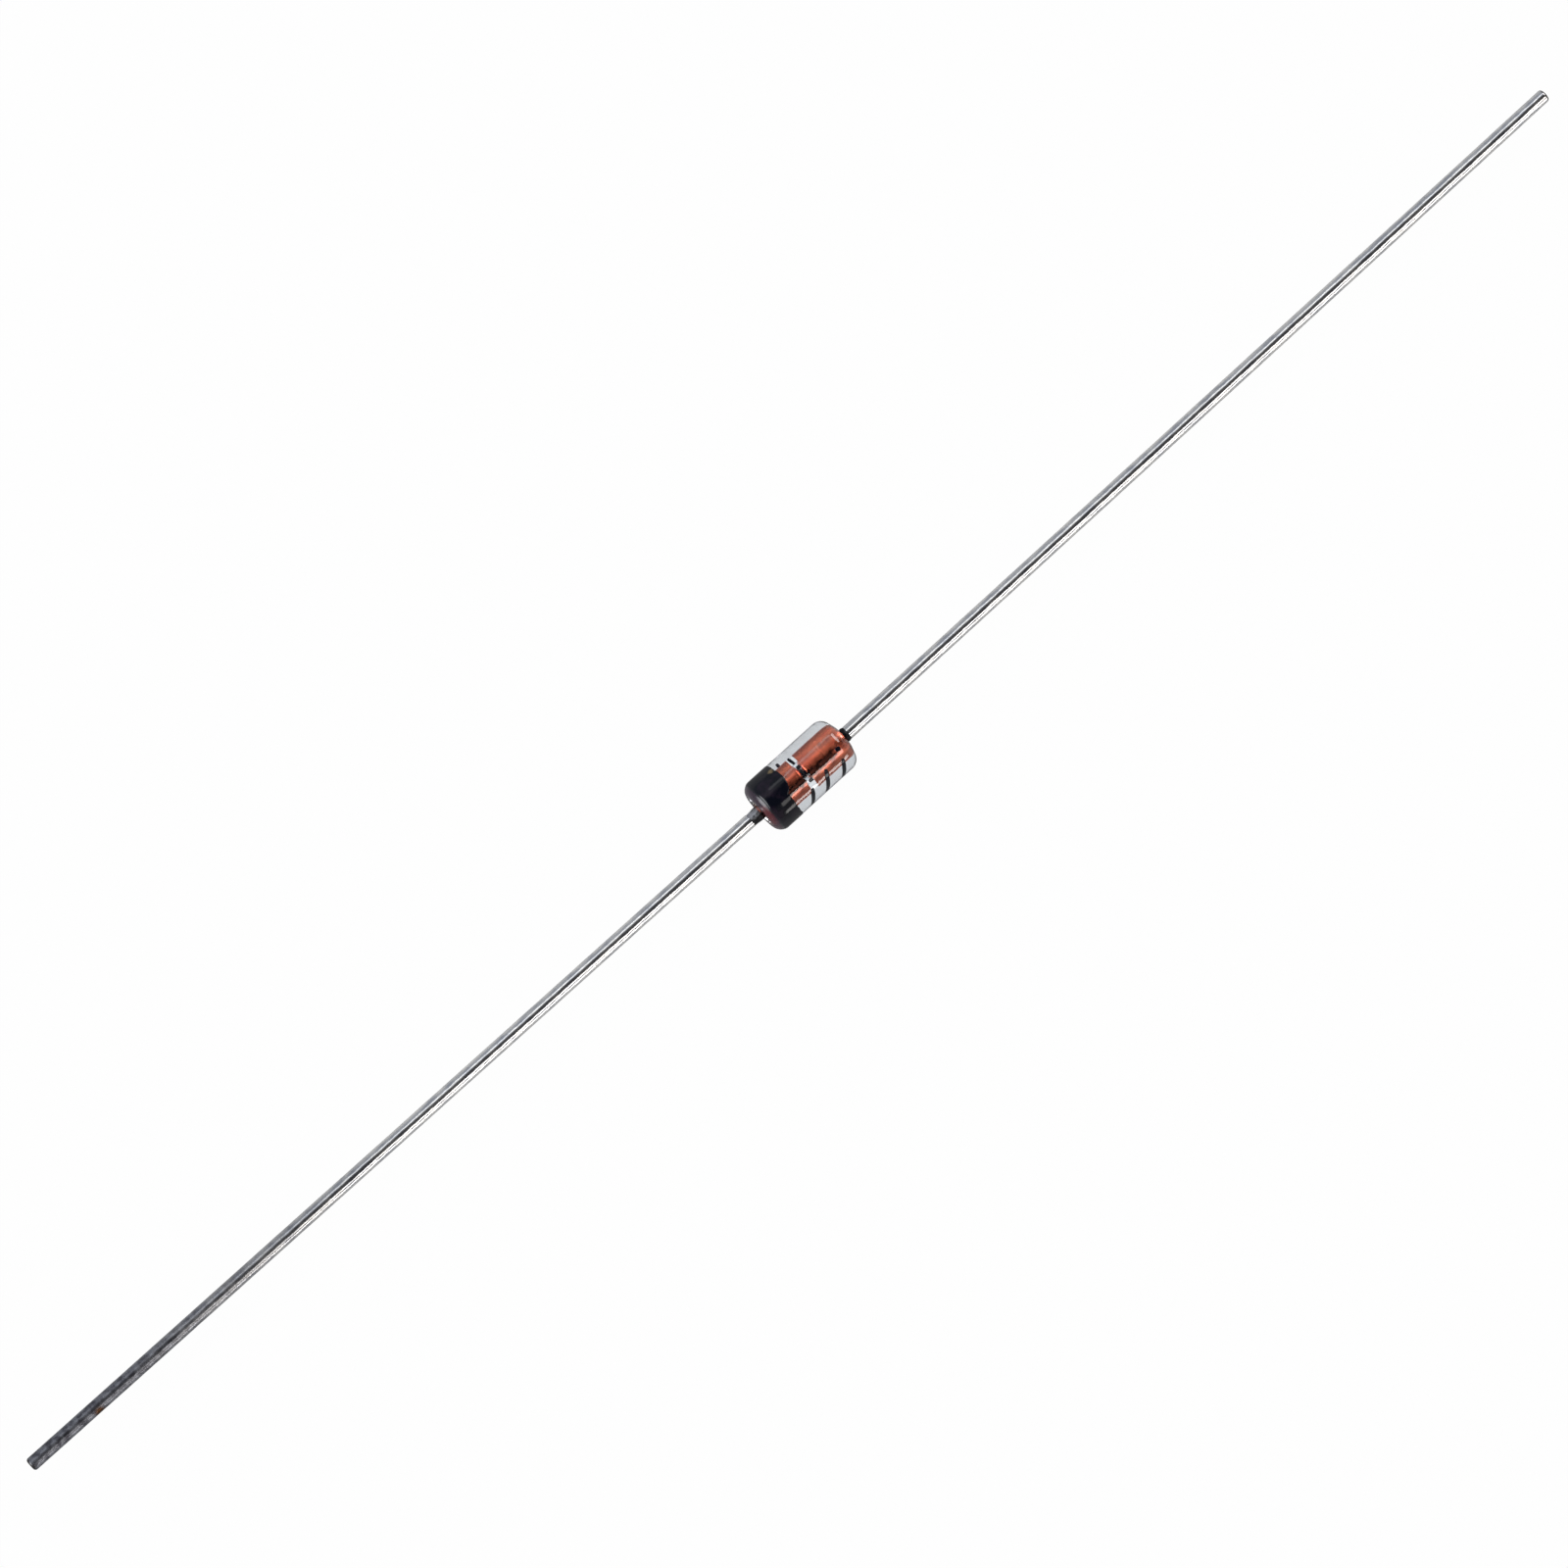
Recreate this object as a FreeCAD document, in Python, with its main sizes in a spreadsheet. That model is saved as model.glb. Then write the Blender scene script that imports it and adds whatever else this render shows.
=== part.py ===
import FreeCAD, Part
import math
import os
import Sketcher

# Zener diode in a small glass axial package, in millimetres.
# A glass tube is fused round two copper-red studs that clamp a silicon die between them.
# A tinned wire is butt-welded to the outer face of each stud, and a black ring marks the cathode.
# Every piece is round about the X axis, except the die and its backing, which are square.
# The origin is the middle of the glass. The cathode and its ring are at -X, the anode is at +X.

# Driving dimensions: alias, value in millimetres, what it is
SIZES = [
    ("glass_length", 3.65, "glass sleeve, end to end before its lips are rounded"),
    ("glass_diameter", 1.90, "glass sleeve, outside"),
    ("cathode_crown", 0.04, "how far the cathode end falls back from the bore to the rim"),
    ("cathode_lip", 0.36, "rounding of the rim at the cathode end"),
    ("anode_crown", 0.18, "how far the domed anode end falls back from the bore to the rim"),
    ("anode_lip", 0.38, "rounding of the rim at the anode end"),
    ("mouth_lip", 0.05, "rounding of the bore's mouth at both ends"),
    ("stud_diameter", 0.80, "studs, and the bore that is fused to them"),
    ("stud_recess", 0.06, "outer face of each stud, in from the end of the glass"),
    ("stud_inner_edge", 0.08, "rounding of a stud at the die"),
    ("stud_outer_edge", 0.12, "rounding of a stud at its weld"),
    ("die_side", 0.38, "side of the square die"),
    ("die_thickness", 0.105, "die, along the axis"),
    ("backing_thickness", 0.012, "silver layer between the die and the cathode stud"),
    ("bump_diameter", 0.24, "silver bump on the anode side of the die"),
    ("bump_height", 0.033, "silver bump, along the axis"),
    ("bump_edge", 0.02, "rounding of the bump at the anode stud"),
    ("wire_diameter", 0.47, "tinned wire of both leads"),
    ("wire_reach", 30.70, "each free lead, from the end of the glass to the tip"),
    ("wire_tip_edge", 0.06, "rounding of the cut end of a lead"),
    ("bead_swell", 0.03, "how far a weld bead stands out from the wire, all round"),
    ("cathode_bead", 0.44, "weld bead at the cathode, along the axis"),
    ("anode_bead", 0.18, "weld bead at the anode, along the axis"),
    ("band_setback", 0.01, "cathode ring, in from where the rim's rounding ends"),
    ("band_width", 0.82, "cathode ring, along the axis"),
    ("band_thickness", 0.012, "ink of the cathode ring"),
]

# Places and sizes that follow from the driving dimensions
GLASS_HALF = "(Sizes.glass_length / 2)"
DIE_GAP = "(Sizes.backing_thickness + Sizes.die_thickness + Sizes.bump_height)"
STUD_FACE = f"({GLASS_HALF} - Sizes.stud_recess)"
STUD_LENGTH = f"({STUD_FACE} - {DIE_GAP} / 2)"
STUD_RADIUS = "(Sizes.stud_diameter / 2)"
GLASS_RADIUS = "(Sizes.glass_diameter / 2)"
WIRE_RADIUS = "(Sizes.wire_diameter / 2)"
BAND_INSET = "(Sizes.cathode_crown + Sizes.cathode_lip + Sizes.band_setback)"

# Half a turn about Y carries what is built towards +X to the cathode end
TO_CATHODE = FreeCAD.Rotation(FreeCAD.Vector(0, 1, 0), 180)

# How a sketch numbers the points of a line or arc, and its own origin
START, END, CENTRE = 1, 2, 3
ORIGIN = (-1, START)

doc = FreeCAD.newDocument("zener_diode")
sheet = doc.addObject("Spreadsheet::Sheet", "Sizes")
for row, (alias, value, meaning) in enumerate(SIZES, start=1):
    sheet.set(f"A{row}", meaning)
    sheet.set(f"B{row}", str(value))
    sheet.setAlias(f"B{row}", alias)
doc.recompute()


def amount(expression):
    """The number that an expression gives with the sheet's present values."""
    return float(sheet.evalExpression(expression))


def new_body(label, start, faces_cathode=False):
    """An empty body whose own origin is on the axis, start away from the middle of the glass."""
    body = doc.addObject("PartDesign::Body", label)
    body.Label = label
    if faces_cathode:
        body.Placement = FreeCAD.Placement(FreeCAD.Vector(), TO_CATHODE)
        start = f"-{start}"
    body.setExpression("Placement.Base.x", start)
    return body


def new_sketch(body, name, role):
    """A sketch on one of the body's own planes: YZ_Plane is square to the axis, XY_Plane holds it."""
    plane = next(feature for feature in body.Origin.OriginFeatures if feature.Role == role)
    sketch = body.newObject("Sketcher::SketchObject", name)
    sketch.AttachmentSupport = [(plane, "")]
    sketch.MapMode = "FlatFace"
    return sketch


def bind(sketch, kind, *where, to):
    """Adds a dimension of this kind to a sketch, under a name, and binds it to an expression."""
    index = sketch.addConstraint(Sketcher.Constraint(kind, *where, amount(to)))
    name = f"{kind}_{index}"
    sketch.renameConstraint(index, name)
    sketch.setExpression(f"Constraints.{name}", to)


def draw_circle(sketch, radius):
    """A circle round the axis, in a sketch that is square to it."""
    ring = Part.Circle(FreeCAD.Vector(), FreeCAD.Vector(0, 0, 1), amount(radius))
    circle = sketch.addGeometry(ring, False)
    sketch.addConstraint(Sketcher.Constraint("Coincident", circle, CENTRE, *ORIGIN))
    bind(sketch, "Radius", circle, to=radius)


def draw_lines(sketch, corners, closed):
    """Lines from corner to corner, and back to the first if closed. Each corner is a pair of
    expressions, x along the axis and y off it. Line number n starts at corner number n."""
    points = [FreeCAD.Vector(amount(x), amount(y), 0) for x, y in corners]
    ends = points[1:] + points[:1] if closed else points[1:]
    lines = [sketch.addGeometry(Part.LineSegment(*pair), False) for pair in zip(points, ends)]
    following = lines[1:] + lines[:1] if closed else lines[1:]
    for line, after in zip(lines, following):
        sketch.addConstraint(Sketcher.Constraint("Coincident", line, END, after, START))
    places = [(line, START) for line in lines] + ([] if closed else [(lines[-1], END)])
    for place, (x, y) in zip(places, corners):
        bind(sketch, "DistanceX", *place, to=x)
        bind(sketch, "DistanceY", *place, to=y)


def round_corner(sketch, line, radius):
    """Rounds the corner where a line of the outline starts, and keeps the sharp corner as a guide point."""
    arc = sketch.GeometryCount
    sketch.fillet(line, START, amount(radius), True, True)
    bind(sketch, "Radius", arc, to=radius)


def pad(body, sketch, length):
    """Carries a sketch that is square to the axis out along it."""
    feature = body.newObject("PartDesign::Pad", f"{body.Label}_pad")
    feature.Profile = sketch
    feature.setExpression("Length", length)
    return feature


def turn(body, sketch):
    """Turns a half outline once round the axis."""
    feature = body.newObject("PartDesign::Revolution", f"{body.Label}_turned")
    feature.Profile = sketch
    feature.ReferenceAxis = (sketch, ["H_Axis"])
    feature.Angle = 360
    return feature


def ring_edge(feature, x, radius):
    """Names of a feature's full circles of this radius, centred at x along the body's own axis."""
    x, girth = amount(x), 2 * math.pi * amount(radius)
    slack = 1e-4
    return [
        f"Edge{number}"
        for number, edge in enumerate(feature.Shape.Edges, start=1)
        if edge.isClosed() and abs(edge.CenterOfMass.x - x) < slack and abs(edge.Length - girth) < slack
    ]


def round_off(body, name, base, x, radius, lip):
    """Rounds by lip the circle of this radius that a feature has at x along the body's own axis."""
    doc.recompute()
    feature = body.newObject("PartDesign::Fillet", f"{body.Label}_{name}")
    feature.Base = (base, ring_edge(base, x, radius))
    feature.setExpression("Radius", lip)
    return feature


def make_glass_sleeve():
    """The tube, turned from the outline of its wall. Its ends melted round: nearly flat at the
    cathode, domed at the anode, with a small lip where the bore opens."""
    body = new_body("glass_sleeve", f"-{GLASS_HALF}")
    wall = new_sketch(body, "glass_wall", "XY_Plane")
    corners = [
        ("0", STUD_RADIUS, "Sizes.mouth_lip"),
        ("Sizes.cathode_crown", GLASS_RADIUS, "Sizes.cathode_lip"),
        ("Sizes.glass_length - Sizes.anode_crown", GLASS_RADIUS, "Sizes.anode_lip"),
        ("Sizes.glass_length", STUD_RADIUS, "Sizes.mouth_lip"),
    ]
    draw_lines(wall, [(x, y) for x, y, lip in corners], closed=True)
    for line, (x, y, lip) in enumerate(corners):
        round_corner(wall, line, lip)
    turn(body, wall)


def make_stud(label, faces_cathode):
    """A plug that fills the bore from the die out to its weld, with tumbled edges."""
    body = new_body(label, f"({DIE_GAP} / 2)", faces_cathode)
    section = new_sketch(body, f"{label}_section", "YZ_Plane")
    draw_circle(section, STUD_RADIUS)
    plug = pad(body, section, STUD_LENGTH)
    rounded = round_off(body, "inner_edge", plug, "0", STUD_RADIUS, "Sizes.stud_inner_edge")
    round_off(body, "outer_edge", rounded, STUD_LENGTH, STUD_RADIUS, "Sizes.stud_outer_edge")


def make_square_slice(label, start, thickness):
    """A square slice in the gap between the studs, thickness along the axis and start from its middle."""
    piece = doc.addObject("Part::Box", label)
    piece.Label = label
    piece.setExpression("Length", thickness)
    piece.setExpression("Width", "Sizes.die_side")
    piece.setExpression("Height", "Sizes.die_side")
    piece.setExpression("Placement.Base.x", start)
    piece.setExpression("Placement.Base.y", "-Sizes.die_side / 2")
    piece.setExpression("Placement.Base.z", "-Sizes.die_side / 2")


def make_silver_bump():
    """The plated contact that stands on the die and is pressed on the anode stud."""
    body = new_body("silver_bump", f"({DIE_GAP} / 2 - Sizes.bump_height)")
    section = new_sketch(body, "bump_section", "YZ_Plane")
    radius = "(Sizes.bump_diameter / 2)"
    draw_circle(section, radius)
    button = pad(body, section, "Sizes.bump_height")
    round_off(body, "edge", button, "Sizes.bump_height", radius, "Sizes.bump_edge")


def make_weld_bead(label, length, faces_cathode):
    """Metal that flowed between stud and wire: a short barrel, swollen at its middle."""
    body = new_body(label, STUD_FACE, faces_cathode)
    outline = new_sketch(body, f"{label}_outline", "XY_Plane")
    corners = [("0", WIRE_RADIUS), ("0", "0"), (length, "0"), (length, WIRE_RADIUS)]
    draw_lines(outline, corners, closed=False)
    first, last = 0, outline.GeometryCount - 1
    swell_top = FreeCAD.Vector(amount(length) / 2, amount(f"{WIRE_RADIUS} + Sizes.bead_swell"), 0)
    swell = Part.Arc(outline.getPoint(last, END), swell_top, outline.getPoint(first, START))
    side = outline.addGeometry(swell, False)
    outline.addConstraint(Sketcher.Constraint("Coincident", side, START, last, END))
    outline.addConstraint(Sketcher.Constraint("Coincident", side, END, first, START))
    bulge = f"(({length} / 2) ^ 2 + Sizes.bead_swell ^ 2) / (2 * Sizes.bead_swell)"
    bind(outline, "Radius", side, to=bulge)
    turn(body, outline)


def make_lead(label, bead, faces_cathode):
    """A straight wire from its weld out to its sheared and slightly rounded tip."""
    body = new_body(label, f"({STUD_FACE} + {bead})", faces_cathode)
    length = f"({GLASS_HALF} + Sizes.wire_reach - {STUD_FACE} - {bead})"
    section = new_sketch(body, f"{label}_section", "YZ_Plane")
    draw_circle(section, WIRE_RADIUS)
    wire = pad(body, section, length)
    round_off(body, "tip_edge", wire, length, WIRE_RADIUS, "Sizes.wire_tip_edge")


def make_cathode_band():
    """The ink ring round the straight part of the glass, clear of the rounded rim."""
    body = new_body("cathode_band", f"({GLASS_HALF} - {BAND_INSET} - Sizes.band_width)", faces_cathode=True)
    section = new_sketch(body, "band_section", "YZ_Plane")
    draw_circle(section, GLASS_RADIUS)
    draw_circle(section, f"{GLASS_RADIUS} + Sizes.band_thickness")
    pad(body, section, "Sizes.band_width")


def export_nodes():
    """Writes each sub-part to a file named by its label, once the whole document is sound."""
    doc.recompute()
    unsound = [item.Name for item in doc.Objects if {"Invalid", "Error"} & set(item.State)]
    if unsound:
        raise RuntimeError(f"objects that failed: {unsound}")
    os.makedirs("parts", exist_ok=True)
    nodes = [item for item in doc.Objects if item.TypeId in ("PartDesign::Body", "Part::Box")]
    for node in nodes:
        if node.Shape.isNull() or not node.Shape.isValid():
            raise RuntimeError(f"{node.Label} has no sound shape")
    for node in nodes:
        node.Shape.exportStep(f"parts/{node.Label}.step")
        print(f"{node.Label}: {node.Shape.Volume:.4f} cubic mm")


make_glass_sleeve()
make_cathode_band()
make_stud("cathode_stud", faces_cathode=True)
make_stud("anode_stud", faces_cathode=False)
make_square_slice("silver_backing", f"-{DIE_GAP} / 2", "Sizes.backing_thickness")
make_square_slice("zener_die", f"-{DIE_GAP} / 2 + Sizes.backing_thickness", "Sizes.die_thickness")
make_silver_bump()
make_weld_bead("cathode_weld", "Sizes.cathode_bead", faces_cathode=True)
make_weld_bead("anode_weld", "Sizes.anode_bead", faces_cathode=False)
make_lead("cathode_lead", "Sizes.cathode_bead", faces_cathode=True)
make_lead("anode_lead", "Sizes.anode_bead", faces_cathode=False)
export_nodes()
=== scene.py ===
# %% [markdown]
# # A zener diode in a small glass package
#
# The real part is a glass tube less than two millimetres across. Two copper-red studs are fused
# into its ends and clamp a square of silicon between them. A black ring marks the cathode, and a
# tinned wire is welded to each stud. The CAD model fixes the sizes and places, and this lesson
# dresses it: each CAD piece gets a finer mesh in the same place and a procedural finish.

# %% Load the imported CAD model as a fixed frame
import functools
import math

import bmesh
import bpy
from mathutils import Matrix, Vector, noise


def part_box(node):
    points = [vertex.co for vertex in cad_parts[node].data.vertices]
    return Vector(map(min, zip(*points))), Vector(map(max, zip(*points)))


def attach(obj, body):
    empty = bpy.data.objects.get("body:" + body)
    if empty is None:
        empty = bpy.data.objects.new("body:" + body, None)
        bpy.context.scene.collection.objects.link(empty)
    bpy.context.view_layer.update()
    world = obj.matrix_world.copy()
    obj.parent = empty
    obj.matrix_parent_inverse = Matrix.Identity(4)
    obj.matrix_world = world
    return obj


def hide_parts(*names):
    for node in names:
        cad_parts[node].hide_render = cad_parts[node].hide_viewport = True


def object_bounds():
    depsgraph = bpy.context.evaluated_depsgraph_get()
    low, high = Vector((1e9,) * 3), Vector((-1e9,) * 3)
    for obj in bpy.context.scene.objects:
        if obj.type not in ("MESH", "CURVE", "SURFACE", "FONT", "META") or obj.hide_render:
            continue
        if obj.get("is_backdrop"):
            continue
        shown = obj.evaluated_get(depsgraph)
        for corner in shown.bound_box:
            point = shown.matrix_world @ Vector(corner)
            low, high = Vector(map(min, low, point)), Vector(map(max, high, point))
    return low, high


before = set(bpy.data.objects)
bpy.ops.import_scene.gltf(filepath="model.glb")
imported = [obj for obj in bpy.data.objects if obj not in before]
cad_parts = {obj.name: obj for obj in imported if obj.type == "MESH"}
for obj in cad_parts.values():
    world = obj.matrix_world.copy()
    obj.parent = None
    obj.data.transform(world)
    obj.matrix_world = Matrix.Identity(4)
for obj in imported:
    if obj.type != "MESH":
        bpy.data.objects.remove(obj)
cad_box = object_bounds()
MM = 0.001
print("CAD nodes:", ", ".join(sorted(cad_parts)))

# %% [markdown]
# ## Sizes, read from the CAD nodes
#
# Nothing is measured twice. A node's box gives the ends and the radius of each turned piece. The
# CAD mesh is made of flat facets, so its box is a little narrower from front to back than from
# side to side, and the smaller of the two keeps a finer mesh inside it.

# %% Ends and radii of the CAD pieces


def span(node):
    """The lowest and highest x of a CAD node."""
    low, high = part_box(node)
    return low.x, high.x


def radius_of(node):
    """The radius that a round piece may have and still stay inside its node's box."""
    low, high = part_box(node)
    return min(high.y, -low.y, high.z, -low.z)


GLASS_RADIUS = radius_of("glass_sleeve")
INK_RADIUS = radius_of("cathode_band")
STUD_RADIUS = radius_of("anode_stud")
WIRE_RADIUS = radius_of("anode_lead")
glass_start, glass_end = span("glass_sleeve")
print(f"glass {2 * GLASS_RADIUS / MM:.3f} mm across, {(glass_end - glass_start) / MM:.3f} mm long")
INK_HEIGHT = INK_RADIUS - GLASS_RADIUS
print(f"wire {2 * WIRE_RADIUS / MM:.3f} mm across, ink {INK_HEIGHT / MM:.4f} mm thick")

# %% [markdown]
# ## The camera
#
# The photograph looks down on the part from high up, with the leads running from the lower left
# corner to the upper right one. The camera's turn, height and distance were worked out from three
# points of the picture: the two wire tips and the middle of the glass. It looks slightly past the
# part, because the glass isn't quite in the middle of the picture.

# %% Place the camera
CAMERA_TURN = math.radians(42.509)
CAMERA_HEIGHT = math.radians(81.0)
CAMERA_DISTANCE = 0.2425
CAMERA_LENS_MM = 175.892
AIM_RIGHT = -0.000563
AIM_UP = -0.000313

right = Vector((math.cos(CAMERA_TURN), -math.sin(CAMERA_TURN), 0.0))
away = Vector((math.sin(CAMERA_TURN), math.cos(CAMERA_TURN), 0.0))
forward = away * math.cos(CAMERA_HEIGHT) - Vector((0.0, 0.0, 1.0)) * math.sin(CAMERA_HEIGHT)
up = right.cross(forward)

camera_data = bpy.data.cameras.new("photo_camera")
camera_data.lens = CAMERA_LENS_MM
camera_data.sensor_width = 36.0
camera_data.clip_start = 0.01
camera_data.clip_end = 20.0
camera = bpy.data.objects.new("photo_camera", camera_data)
bpy.context.scene.collection.objects.link(camera)
camera_place = right * AIM_RIGHT + up * AIM_UP - forward * CAMERA_DISTANCE
camera_turned = Matrix((right, up, -forward)).transposed().to_4x4()
camera.matrix_world = Matrix.Translation(camera_place) @ camera_turned
bpy.context.scene.camera = camera
bpy.context.scene.view_settings.view_transform = "Standard"
print("camera at", [round(c, 4) for c in camera_place])

# %% [markdown]
# ## Helpers for every node tree
#
# Finishes and Geometry Nodes are both trees of nodes. These helpers add a node, set its options and
# fill each input: a plain value is written into the socket, and another node's output is linked to
# it. They keep the trees below short enough to read from top to bottom.

# %% The node helpers


def fill(tree, node, inputs):
    """Writes plain values into a node's inputs, and links other nodes' outputs to them."""
    for socket, value in inputs.items():
        if isinstance(value, bpy.types.NodeSocket):
            tree.links.new(value, node.inputs[socket])
        else:
            node.inputs[socket].default_value = value


def add_node(tree, kind, inputs=None, **options):
    """Adds a node to a tree, with its options set and its inputs filled or linked."""
    made = tree.nodes.new(kind)
    for option, value in options.items():
        setattr(made, option, value)
    fill(tree, made, inputs or {})
    return made


def math_node(tree, operation, *values):
    """A Math node's result, for use as the input of another node."""
    return add_node(tree, "ShaderNodeMath", dict(enumerate(values)), operation=operation).outputs[0]


def grey(level):
    """A neutral colour."""
    return (level, level, level, 1.0)


print("node helpers ready")

# %% [markdown]
# ## The studio
#
# Round metal and glass look like what they reflect. The photograph was taken on a white table,
# with long soft lamps to one side and darkness overhead, where the camera itself is. That gives
# the wires their bright stripe, black line and white flank. The world repeats it: its brightness
# depends only on the roll angle about the leads, measured from straight up towards the front.

# %% The world, by roll angle about the leads
# Roll angle in degrees, then the red, green and blue that arrive from there.
SKY_BANDS = [
    (-180, (0.60, 0.60, 0.62)),
    (-100, (0.45, 0.47, 0.52)),
    (-80, (0.37, 0.39, 0.43)),
    (-42, (0.42, 0.44, 0.48)),
    (-22, (0.72, 0.73, 0.75)),
    (-13, (0.08, 0.08, 0.09)),
    (-8, (0.02, 0.02, 0.025)),
    (30, (0.02, 0.02, 0.02)),
    (40, (0.20, 0.19, 0.18)),
    (62, (0.36, 0.34, 0.32)),
    (76, (0.36, 0.34, 0.32)),
    (96, (0.30, 0.29, 0.28)),
    (120, (0.60, 0.60, 0.60)),
    (180, (0.60, 0.60, 0.62)),
]
SKY_LEVEL = 1.0

world = bpy.data.worlds.new("studio")
bpy.context.scene.world = world
world.use_nodes = True
sky = world.node_tree
sky.nodes.clear()
direction = add_node(sky, "ShaderNodeTexCoord")
parts = add_node(sky, "ShaderNodeSeparateXYZ", {"Vector": direction.outputs["Generated"]})
to_front = math_node(sky, "MULTIPLY", parts.outputs["Y"], -1.0)
roll = math_node(sky, "ARCTAN2", to_front, parts.outputs["Z"])
roll_inputs = {"Value": roll, "From Min": -math.pi, "From Max": math.pi}
place_on_ramp = add_node(sky, "ShaderNodeMapRange", roll_inputs)
bands = add_node(sky, "ShaderNodeValToRGB", {"Fac": place_on_ramp.outputs["Result"]})
stops = bands.color_ramp.elements
for roll_degrees, colour in SKY_BANDS[1:-1]:
    stops.new((roll_degrees + 180) / 360).color = (*colour, 1.0)
stops[0].color = (*SKY_BANDS[0][1], 1.0)
stops[-1].color = (*SKY_BANDS[-1][1], 1.0)
sky_light = {"Color": bands.outputs["Color"], "Strength": SKY_LEVEL}
background = add_node(sky, "ShaderNodeBackground", sky_light)
add_node(sky, "ShaderNodeOutputWorld", {"Surface": background.outputs["Background"]})
print(len(SKY_BANDS), "bands in the world")

# %% [markdown]
# Three long lamps lie beside the part, in line with its leads, and draw the bright lines on wire,
# glass and ink. Two oval ones stand at its ends. The wires never mirror those to the camera, but
# they fill the part with even light and put a soft patch on the rounded ends of the glass. The
# long lamps are shifted towards the anode, because the camera stands over the cathode lead and what
# the body mirrors to it lies on the anode's side.

# %% The soft lamps
# Name, direction from the part, length and width in degrees, brightness and colour.
WARM = (1.0, 0.97, 0.94)
COOL = (0.95, 0.98, 1.0)
SOFT_LAMPS = [
    ("front_lamp", (0.0, -0.695, 0.719), 36.0, 14.0, 2.8, WARM),
    ("side_lamp", (0.0, -0.985, 0.174), 36.0, 10.0, 5.0, WARM),
    ("back_lamp", (0.0, 0.560, 0.829), 36.0, 9.0, 1.1, COOL),
    ("cathode_end_lamp", (-0.86, 0.20, 0.46), 46.0, 40.0, 5.0, COOL),
    ("anode_end_lamp", (0.78, 0.20, 0.59), 38.0, 30.0, 3.3, WARM),
]
LAMP_DISTANCE = 0.45
LONG_LAMP_SHIFT = Vector((0.10, 0.0, 0.0))
WATTS_PER_SQUARE_METRE = 4


def across_at(distance, degrees):
    """The width that fills an angle in degrees when seen from a distance."""
    return 2 * distance * math.tan(math.radians(degrees) / 2)


for name, direction, length, width, brightness, colour in SOFT_LAMPS:
    outward = Vector(direction).normalized()
    is_long = outward.x == 0
    lamp = bpy.data.lights.new(name, "AREA")
    lamp.shape = "RECTANGLE" if is_long else "ELLIPSE"
    lamp.size = across_at(LAMP_DISTANCE, length)
    lamp.size_y = across_at(LAMP_DISTANCE, width)
    lamp.energy = brightness * WATTS_PER_SQUARE_METRE * lamp.size * lamp.size_y
    lamp.color = colour
    level_edge = Vector((0.0, 0.0, 1.0)).cross(outward).normalized()
    facing = Matrix((level_edge, outward.cross(level_edge), outward)).transposed().to_4x4()
    shift = LONG_LAMP_SHIFT if is_long else Vector()
    holder = bpy.data.objects.new(name, lamp)
    bpy.context.scene.collection.objects.link(holder)
    holder.matrix_world = Matrix.Translation(outward * LAMP_DISTANCE + shift) @ facing
    holder.visible_camera = False
    print(name, f"{lamp.energy:.2f} W")

# %% [markdown]
# ## The table
#
# The background of the photograph is plain white. The floor is a grey sheet that glows white for
# rays that come straight from the camera and, less strongly, for rays that come through glass. For
# metal it stays a plain sheet. What is left of the plain sheet takes the soft shadow of the part.

# %% The floor and its finish
FLOOR_HALF = 1.5
FLOOR_GAP = 0.002 * MM
GLOW_SEEN = 0.98
GLOW_IN_GLASS = 0.68

floor_height = -INK_RADIUS - FLOOR_GAP
floor_corners = [(-1, -1), (1, -1), (1, 1), (-1, 1)]
floor_mesh = bpy.data.meshes.new("table")
corners = [(x * FLOOR_HALF, y * FLOOR_HALF, floor_height) for x, y in floor_corners]
floor_mesh.from_pydata(corners, [], [(0, 1, 2, 3)])
table = bpy.data.objects.new("table", floor_mesh)
bpy.context.scene.collection.objects.link(table)
table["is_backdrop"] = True

paper = bpy.data.materials.new("white_paper")
paper.use_nodes = True
tree = paper.node_tree
tree.nodes.clear()
rays = add_node(tree, "ShaderNodeLightPath")
seen = math_node(tree, "MULTIPLY", rays.outputs["Is Camera Ray"], GLOW_SEEN)
in_glass = math_node(tree, "MULTIPLY", rays.outputs["Is Transmission Ray"], GLOW_IN_GLASS)
glow_share = math_node(tree, "MAXIMUM", seen, in_glass)
fibre = add_node(tree, "ShaderNodeTexNoise", {"Scale": 900.0, "Detail": 2.0})
two_greys = {"Factor": fibre.outputs["Fac"], 6: grey(0.46), 7: grey(0.50)}
tint = add_node(tree, "ShaderNodeMix", two_greys, data_type="RGBA")
matt = add_node(tree, "ShaderNodeBsdfDiffuse", {"Color": tint.outputs[2]})
glow = add_node(tree, "ShaderNodeEmission", {"Color": grey(1.0), "Strength": 1.0})
shared = {0: glow_share, 1: matt.outputs[0], 2: glow.outputs[0]}
mixed = add_node(tree, "ShaderNodeMixShader", shared)
add_node(tree, "ShaderNodeOutputMaterial", {"Surface": mixed.outputs[0]})
floor_mesh.materials.append(paper)
print(f"floor {floor_height / MM:.3f} mm below the axis")

# %% [markdown]
# ## Helpers for finishes
#
# Every finish is a Principled shader whose colour, roughness and bump come from noise in the
# piece's own Object coordinates. Those are metres, and the pattern on a two-millimetre part is
# easier to think of in millimetres, so a Mapping node scales them first.

# %% Start a finish
NOISE_ROUGHNESS = 0.55


def start_finish(name):
    """A new material: returns it, its tree and its Principled shader."""
    material = bpy.data.materials.new(name)
    material.use_nodes = True
    return material, material.node_tree, material.node_tree.nodes["Principled BSDF"]


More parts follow.
